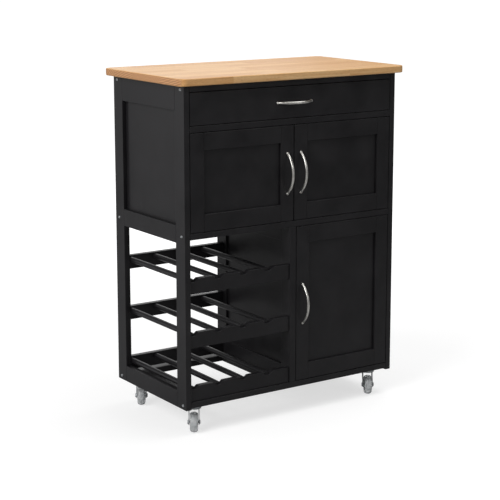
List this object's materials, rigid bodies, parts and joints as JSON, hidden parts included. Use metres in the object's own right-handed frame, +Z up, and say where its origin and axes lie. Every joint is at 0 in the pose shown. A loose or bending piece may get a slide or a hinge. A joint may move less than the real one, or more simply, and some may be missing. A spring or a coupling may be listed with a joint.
{
  "type": "kitchen island cart",
  "caption": "Rolling kitchen island cart with a wood worktop, a drawer, cupboards with framed doors, an open bottle rack and swivel casters",
  "frame": {"origin": "on the floor under the middle of the whole object's box", "axes": "+Z up; doors, drawer and handles face -Y; the bottle rack is at -X"},
  "size_m": [0.67, 0.38, 0.8663],
  "materials": {
    "black_paint": "satin black paint on board",
    "worktop_wood": "edge-glued rubberwood, clear satin lacquer",
    "drawer_birch": "pale raw plywood",
    "satin_nickel": "satin nickel plate",
    "zinc_steel": "bright zinc plate",
    "wheel_plastic": "clear grey moulded plastic"
  },
  "bodies": {
    "cabinet": {"tabletop": "worktop_wood", "top_board": "black_paint", "left_side_frame": "black_paint", "left_side_panel": "black_paint", "right_side_frame": "black_paint", "right_side_panel": "black_paint", "drawer_rail": "black_paint", "mid_shelf": "black_paint", "divider": "black_paint", "bottom_front_rail": "black_paint", "bottom_back_rail": "black_paint", "bottom_left_batten": "black_paint", "bottom_board": "black_paint", "upper_back_panel": "black_paint", "lower_back_panel": "black_paint", "rack_1_front_rail": "black_paint", "rack_1_back_rail": "black_paint", "rack_1_dowel_1": "black_paint", "rack_1_dowel_2": "black_paint", "rack_1_dowel_3": "black_paint", "rack_1_dowel_4": "black_paint", "rack_2_front_rail": "black_paint", "rack_2_back_rail": "black_paint", "rack_2_dowel_1": "black_paint", "rack_2_dowel_2": "black_paint", "rack_2_dowel_3": "black_paint", "rack_2_dowel_4": "black_paint", "rack_3_front_rail": "black_paint", "rack_3_back_rail": "black_paint", "rack_3_dowel_1": "black_paint", "rack_3_dowel_2": "black_paint", "rack_3_dowel_3": "black_paint", "rack_3_dowel_4": "black_paint", "front_left_caster_plate": "zinc_steel", "front_right_caster_plate": "zinc_steel", "back_left_caster_plate": "zinc_steel", "back_right_caster_plate": "zinc_steel"},
    "drawer": {"drawer_front": "black_paint", "drawer_left_side": "drawer_birch", "drawer_right_side": "drawer_birch", "drawer_back": "drawer_birch", "drawer_bottom": "drawer_birch", "drawer_handle": "satin_nickel"},
    "upper_left_door": {"upper_left_door_frame": "black_paint", "upper_left_door_panel": "black_paint", "upper_left_door_handle": "satin_nickel"},
    "upper_right_door": {"upper_right_door_frame": "black_paint", "upper_right_door_panel": "black_paint", "upper_right_door_handle": "satin_nickel"},
    "lower_door": {"lower_door_frame": "black_paint", "lower_door_panel": "black_paint", "lower_door_handle": "satin_nickel"},
    "front_left_swivel": {"front_left_caster_fork": "zinc_steel"},
    "front_left_roller": {"front_left_wheel": "wheel_plastic"},
    "front_right_swivel": {"front_right_caster_fork": "zinc_steel"},
    "front_right_roller": {"front_right_wheel": "wheel_plastic"},
    "back_left_swivel": {"back_left_caster_fork": "zinc_steel"},
    "back_left_roller": {"back_left_wheel": "wheel_plastic"},
    "back_right_swivel": {"back_right_caster_fork": "zinc_steel"},
    "back_right_roller": {"back_right_wheel": "wheel_plastic"}
  },
  "joints": [
    {"name": "drawer_slide", "type": "slide", "parent": "cabinet", "child": "drawer", "axis": [0, -1, 0], "range_m": [0, 0.23]},
    {"name": "upper_left_door_hinge", "type": "hinge", "parent": "cabinet", "child": "upper_left_door", "pos_m": [-0.29975, -0.165, 0.6175], "axis": [0, 0, -1], "range_deg": [0, 100]},
    {"name": "upper_right_door_hinge", "type": "hinge", "parent": "cabinet", "child": "upper_right_door", "pos_m": [0.29975, -0.165, 0.6175], "axis": [0, 0, 1], "range_deg": [0, 100]},
    {"name": "lower_door_hinge", "type": "hinge", "parent": "cabinet", "child": "lower_door", "pos_m": [0.29975, -0.165, 0.28325], "axis": [0, 0, 1], "range_deg": [0, 100]},
    {"name": "front_left_swivel_turn", "type": "hinge", "parent": "cabinet", "child": "front_left_swivel", "pos_m": [-0.27, -0.123, 0.06], "axis": [0, 0, 1], "continuous": true},
    {"name": "front_left_wheel_spin", "type": "hinge", "parent": "front_left_swivel", "child": "front_left_roller", "pos_m": [-0.27926, -0.13726, 0.025], "axis": [0.8387, -0.5446, 0], "continuous": true},
    {"name": "front_right_swivel_turn", "type": "hinge", "parent": "cabinet", "child": "front_right_swivel", "pos_m": [0.27, -0.123, 0.06], "axis": [0, 0, 1], "continuous": true},
    {"name": "front_right_wheel_spin", "type": "hinge", "parent": "front_right_swivel", "child": "front_right_roller", "pos_m": [0.26074, -0.13726, 0.025], "axis": [0.8387, -0.5446, 0], "continuous": true},
    {"name": "back_left_swivel_turn", "type": "hinge", "parent": "cabinet", "child": "back_left_swivel", "pos_m": [-0.27, 0.133, 0.06], "axis": [0, 0, 1], "continuous": true},
    {"name": "back_left_wheel_spin", "type": "hinge", "parent": "back_left_swivel", "child": "back_left_roller", "pos_m": [-0.27926, 0.11874, 0.025], "axis": [0.8387, -0.5446, 0], "continuous": true},
    {"name": "back_right_swivel_turn", "type": "hinge", "parent": "cabinet", "child": "back_right_swivel", "pos_m": [0.27, 0.133, 0.06], "axis": [0, 0, 1], "continuous": true},
    {"name": "back_right_wheel_spin", "type": "hinge", "parent": "back_right_swivel", "child": "back_right_roller", "pos_m": [0.26074, 0.11874, 0.025], "axis": [0.8387, -0.5446, 0], "continuous": true}
  ]
}
